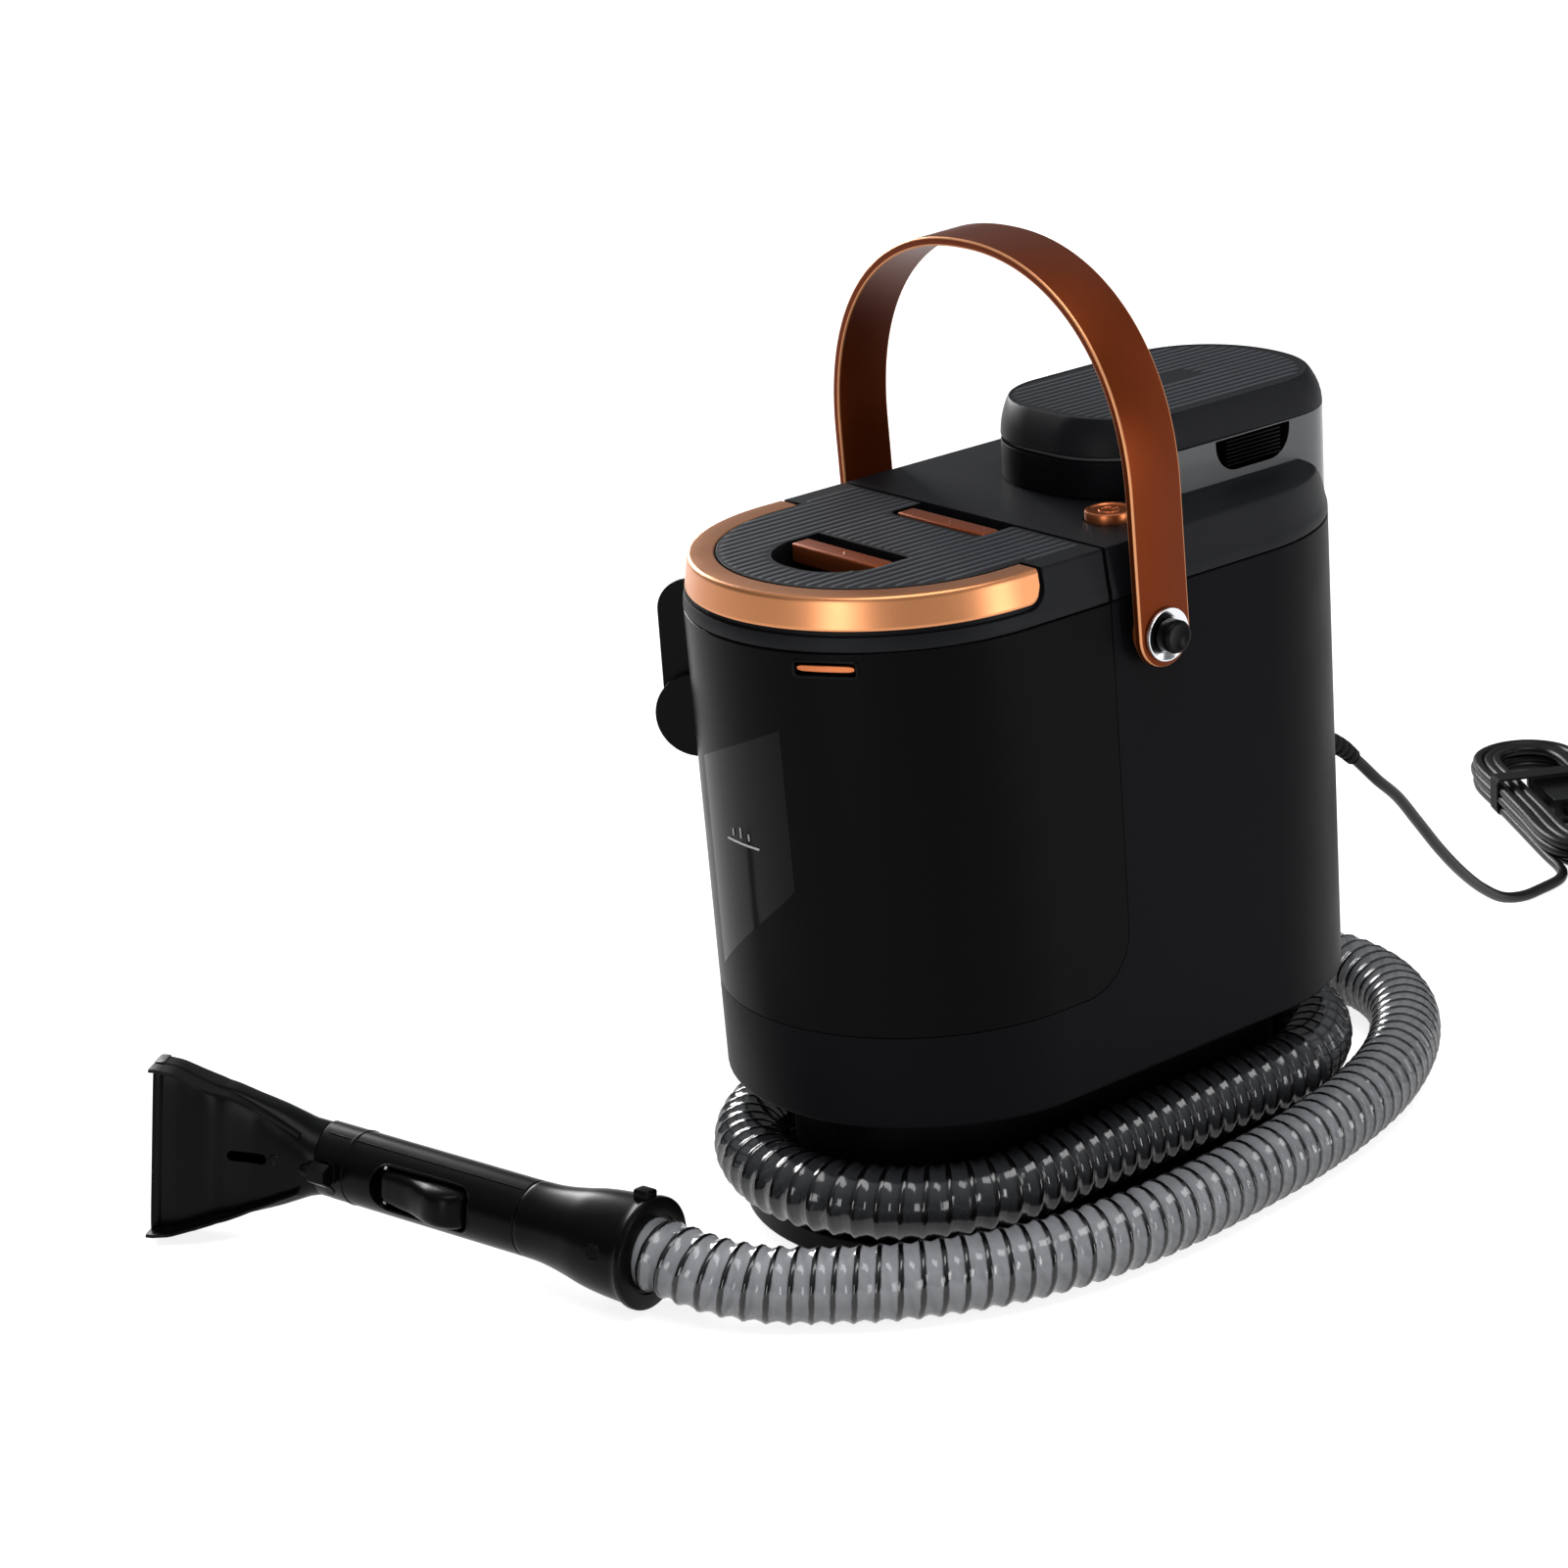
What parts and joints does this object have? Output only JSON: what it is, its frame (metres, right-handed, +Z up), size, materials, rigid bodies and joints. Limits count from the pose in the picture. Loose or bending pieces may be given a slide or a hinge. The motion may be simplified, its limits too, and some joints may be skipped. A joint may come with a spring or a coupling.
{
  "type": "portable spot cleaner",
  "caption": "Portable carpet and upholstery spot cleaner with lift-off clean and dirty tanks, arched carry handle, wrap-around suction hose and upholstery tool.",
  "frame": {"origin": "on the floor under the middle of the body, in the underside of the base plate", "axes": "+Z up, +X to the rear (clean tank and mains cord), -X to the nose (dirty tank), -Y to the near side"},
  "size_m": [0.9586, 0.4016, 0.4597],
  "materials": {
    "charcoal_plastic": "fine-textured moulded charcoal plastic",
    "black_plastic": "satin black moulded plastic",
    "copper_paint": "metallic copper paint on plastic",
    "chrome": "polished plated steel",
    "smoke_tank": "translucent smoke-grey plastic",
    "dark_tank": "dark smoked translucent plastic",
    "rubber": "matt black rubber",
    "steel": "zinc-plated steel",
    "white_plastic": "white float plastic",
    "hose_plastic": "clear grey corrugated hose",
    "cord_sheath": "black PVC sheath"
  },
  "bodies": {
    "housing": {"base_plate": "black_plastic", "foot_front_left": "rubber", "foot_front_right": "rubber", "foot_rear_left": "rubber", "foot_rear_right": "rubber", "hose_wrap_core": "black_plastic", "under_pan": "black_plastic", "main_housing": "charcoal_plastic", "top_deck": "charcoal_plastic", "switch_body": "black_plastic", "motor_can": "steel", "fan_case": "black_plastic", "water_pump": "black_plastic", "pivot_knob_near": "black_plastic", "pivot_knob_far": "black_plastic", "tool_cuff": "black_plastic", "tool_grip": "black_plastic", "tool_trigger_pin": "steel", "spray_jet": "black_plastic", "hose_tube": "hose_plastic", "hose_elbow": "black_plastic", "mains_cord": "cord_sheath", "cord_hank": "cord_sheath", "mains_plug": "cord_sheath", "cord_gland": "rubber", "inner_shelf": "black_plastic", "tank_well": "black_plastic"},
    "handle": {"handle_strap": "copper_paint", "handle_washer_near": "chrome", "handle_washer_far": "chrome"},
    "dirty_tank_body": {"dirty_tank": "dark_tank", "dirty_standpipe": "black_plastic", "catch_frame": "black_plastic", "catch_bar": "copper_paint", "tool_holder": "black_plastic"},
    "dirty_lid": {"dirty_tank_lid": "charcoal_plastic", "dirty_lid_trim": "copper_paint", "float_cage": "black_plastic"},
    "float": {"float_ball": "white_plastic"},
    "front_bar": {"front_pull_bar": "copper_paint"},
    "rear_bar": {"rear_pull_bar": "copper_paint"},
    "clean_tank_body": {"clean_tank": "smoke_tank", "lid_hinge_pin": "steel"},
    "clean_lid": {"clean_tank_lid": "charcoal_plastic", "clean_lid_seal": "rubber", "clean_lid_tab": "black_plastic"},
    "button": {"power_button": "copper_paint"},
    "fan": {"fan_impeller": "steel"},
    "trigger": {"tool_trigger": "black_plastic"},
    "nozzle": {"tool_nozzle": "black_plastic"}
  },
  "joints": [
    {"name": "handle_pivot", "type": "hinge", "parent": "housing", "child": "handle", "pos_m": [-0.0012, 0, 0.2855], "axis": [0, 1, 0], "range_deg": [-61, 46]},
    {"name": "button_press", "type": "slide", "parent": "housing", "child": "button", "axis": [0, 0, -1], "range_m": [0, 0.0015], "stiffness_N_per_m": 400, "springref_m": -0.002},
    {"name": "dirty_tank_lift", "type": "slide", "parent": "housing", "child": "dirty_tank_body", "axis": [0, 0, 1], "range_m": [0, 0.1]},
    {"name": "dirty_lid_lift", "type": "slide", "parent": "dirty_tank_body", "child": "dirty_lid", "axis": [0, 0, 1], "range_m": [0, 0.07]},
    {"name": "float_rise", "type": "slide", "parent": "dirty_lid", "child": "float", "axis": [0, 0, 1], "range_m": [0, 0.012]},
    {"name": "front_bar_pull", "type": "hinge", "parent": "dirty_lid", "child": "front_bar", "pos_m": [-0.1025, 0, 0.3227], "axis": [0, 1, 0], "range_deg": [0, 18], "stiffness_Nm_per_rad": 0.05, "springref_deg": -17.19},
    {"name": "rear_bar_pull", "type": "hinge", "parent": "dirty_lid", "child": "rear_bar", "pos_m": [-0.0385, 0, 0.3227], "axis": [0, -1, 0], "range_deg": [0, 18], "stiffness_Nm_per_rad": 0.05, "springref_deg": -17.19},
    {"name": "clean_tank_lift", "type": "slide", "parent": "housing", "child": "clean_tank_body", "axis": [0, 0, -1], "range_m": [-0.17, 0]},
    {"name": "clean_lid_hinge", "type": "hinge", "parent": "clean_tank_body", "child": "clean_lid", "pos_m": [0.096, 0.0589, 0.3481], "axis": [1, 0, 0], "range_deg": [-100, 0]},
    {"name": "fan_spin", "type": "hinge", "parent": "housing", "child": "fan", "pos_m": [0.084, 0, 0.16], "axis": [0, 0, 1], "continuous": true},
    {"name": "trigger_pull", "type": "hinge", "parent": "housing", "child": "trigger", "pos_m": [-0.29813, 0.13546, 0.03574], "axis": [0.1791, 0.0081, 0.9838], "range_deg": [0, 7], "stiffness_Nm_per_rad": 0.3, "springref_deg": -11.46},
    {"name": "nozzle_pull", "type": "slide", "parent": "housing", "child": "nozzle", "axis": [-0.6935, 0.7132, 0.1027], "range_m": [0, 0.03]}
  ]
}
